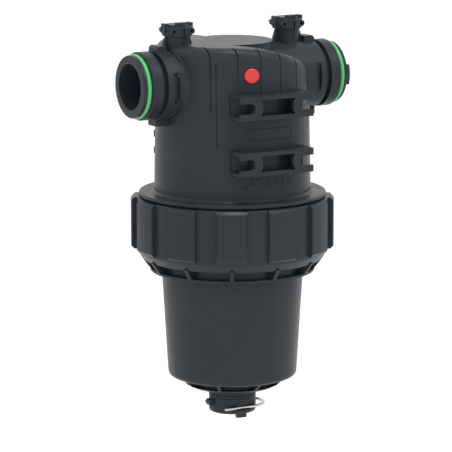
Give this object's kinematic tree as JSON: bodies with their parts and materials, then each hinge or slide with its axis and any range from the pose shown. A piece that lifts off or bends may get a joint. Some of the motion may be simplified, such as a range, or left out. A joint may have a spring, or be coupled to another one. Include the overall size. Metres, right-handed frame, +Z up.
{
  "type": "inline strainer",
  "caption": "Large inline strainer with a domed head, two spigots with sealing rings, T-slot brackets, a ribbed ring nut and a tapered bowl with a drain.",
  "frame": {"origin": "where the centre line through both ports crosses the vertical axis of the head and the bowl", "axes": "+X along the ports towards the outlet, -Y towards the front with the mesh indicator, +Z up"},
  "size_m": [0.2559, 0.2224, 0.4403],
  "materials": {
    "moulded_black": "satin",
    "green_rubber": "satin",
    "red_plastic": "gloss",
    "black_rubber": "matte",
    "steel_wire": "polished",
    "steel_mesh": "woven"
  },
  "bodies": {
    "head": {"head_body": "moulded_black", "head_skirt": "moulded_black", "outlet_elbow": "moulded_black", "inlet_port": "moulded_black", "outlet_port": "moulded_black", "front_upper_bracket": "moulded_black", "front_lower_bracket": "moulded_black", "rear_upper_bracket": "moulded_black", "rear_lower_bracket": "moulded_black", "inlet_o_ring": "green_rubber", "outlet_o_ring": "green_rubber", "mesh_indicator": "red_plastic", "inlet_gauge_plug": "moulded_black", "outlet_gauge_plug": "moulded_black", "inlet_gauge_seal": "black_rubber", "outlet_gauge_seal": "black_rubber"},
    "bowl_group": {"bowl": "moulded_black", "bowl_seal": "black_rubber", "drain_plug": "moulded_black", "drain_seal": "black_rubber", "cartridge_frame": "red_plastic", "cartridge_mesh": "steel_mesh", "cartridge_top_cap": "red_plastic", "cartridge_bottom_cap": "red_plastic", "top_gasket": "black_rubber", "bottom_gasket": "black_rubber"},
    "nut_group": {"ring_nut": "moulded_black"},
    "drain_fork_body": {"drain_fork": "steel_wire"},
    "inlet_fork_body": {"inlet_gauge_fork": "steel_wire"},
    "outlet_fork_body": {"outlet_gauge_fork": "steel_wire"}
  },
  "joints": [
    {"name": "bowl_drop", "type": "slide", "parent": "head", "child": "bowl_group", "axis": [0, 0, -1], "range_m": [0, 0.03]},
    {"name": "nut_turn", "type": "hinge", "parent": "bowl_group", "child": "nut_group", "pos_m": [0, 0, -0.1843], "axis": [0, 0, -1], "range_deg": [0, 1080]},
    {"name": "drain_fork_pull", "type": "slide", "parent": "bowl_group", "child": "drain_fork_body", "axis": [1, 0, 0], "range_m": [0, 0.046]},
    {"name": "inlet_fork_pull", "type": "slide", "parent": "head", "child": "inlet_fork_body", "axis": [0, 1, 0], "range_m": [0, 0.032]},
    {"name": "outlet_fork_pull", "type": "slide", "parent": "head", "child": "outlet_fork_body", "axis": [0, 1, 0], "range_m": [0, 0.032]}
  ],
  "couplings": [
    {"joint": "nut_turn", "follows": "bowl_drop", "rad_per_m": 628.32}
  ]
}
